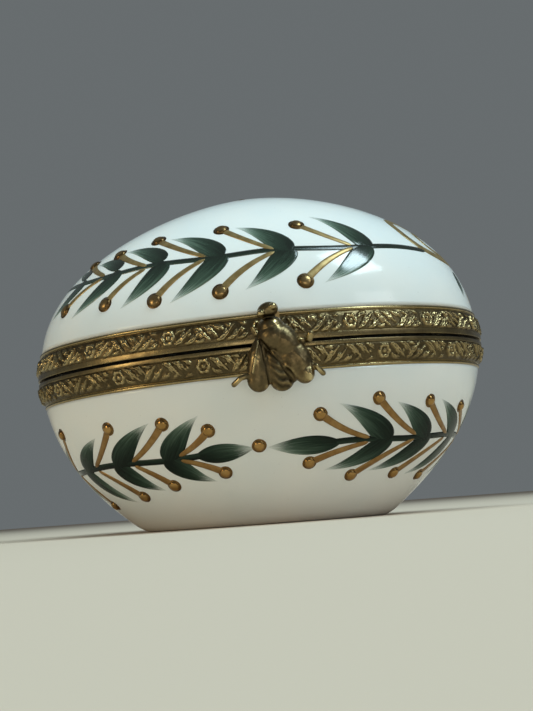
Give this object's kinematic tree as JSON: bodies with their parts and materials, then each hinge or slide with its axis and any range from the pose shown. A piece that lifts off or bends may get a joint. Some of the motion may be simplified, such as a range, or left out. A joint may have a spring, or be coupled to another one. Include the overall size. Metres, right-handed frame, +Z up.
{
  "type": "hinged trinket box",
  "caption": "Egg-shaped porcelain trinket box lying on a flat foot, with a hinged domed lid, embossed brass rim bands and a cast bee clasp.",
  "frame": {"origin": "centre of the flat foot's underside", "axes": "+Z up, +X along the egg towards its blunt end, -Y towards the clasp, +Y towards the hinge"},
  "size_m": [0.0668, 0.0592, 0.0483],
  "materials": {
    "porcelain": "white glazed porcelain, hand painted with green laurel sprays and raised gold dots",
    "brass": "antiqued brass, dark in the recesses",
    "cement": "matt plaster cement",
    "leaf_paint": "dark green overglaze enamel",
    "gold_paint": "burnished gold, raised dots and thin strokes"
  },
  "bodies": {
    "base": {"base_bowl": "porcelain", "lower_cement_bed": "cement", "lower_rim_collar": "brass", "lower_gallery_band": "brass", "catch_stud": "brass", "lower_hinge_knuckles": "brass", "hinge_pin": "brass"},
    "lid": {"lid_dome": "porcelain", "upper_cement_bed": "cement", "upper_rim_collar": "brass", "upper_gallery_band": "brass", "upper_hinge_knuckle": "brass"},
    "clasp": {"clasp_tongue": "brass", "bee_clasp": "brass"}
  },
  "joints": [
    {"name": "lid_hinge", "type": "hinge", "parent": "base", "child": "lid", "pos_m": [0.0007, 0.02725, 0.0233], "axis": [-0.9996, 0, -0.027], "range_deg": [0, 100]},
    {"name": "clasp_flex", "type": "hinge", "parent": "lid", "child": "clasp", "pos_m": [0.0006, -0.0263, 0.02685], "axis": [-0.9996, 0, -0.027], "range_deg": [0, 3], "stiffness_Nm_per_rad": 0.05, "springref_deg": -1.15}
  ]
}
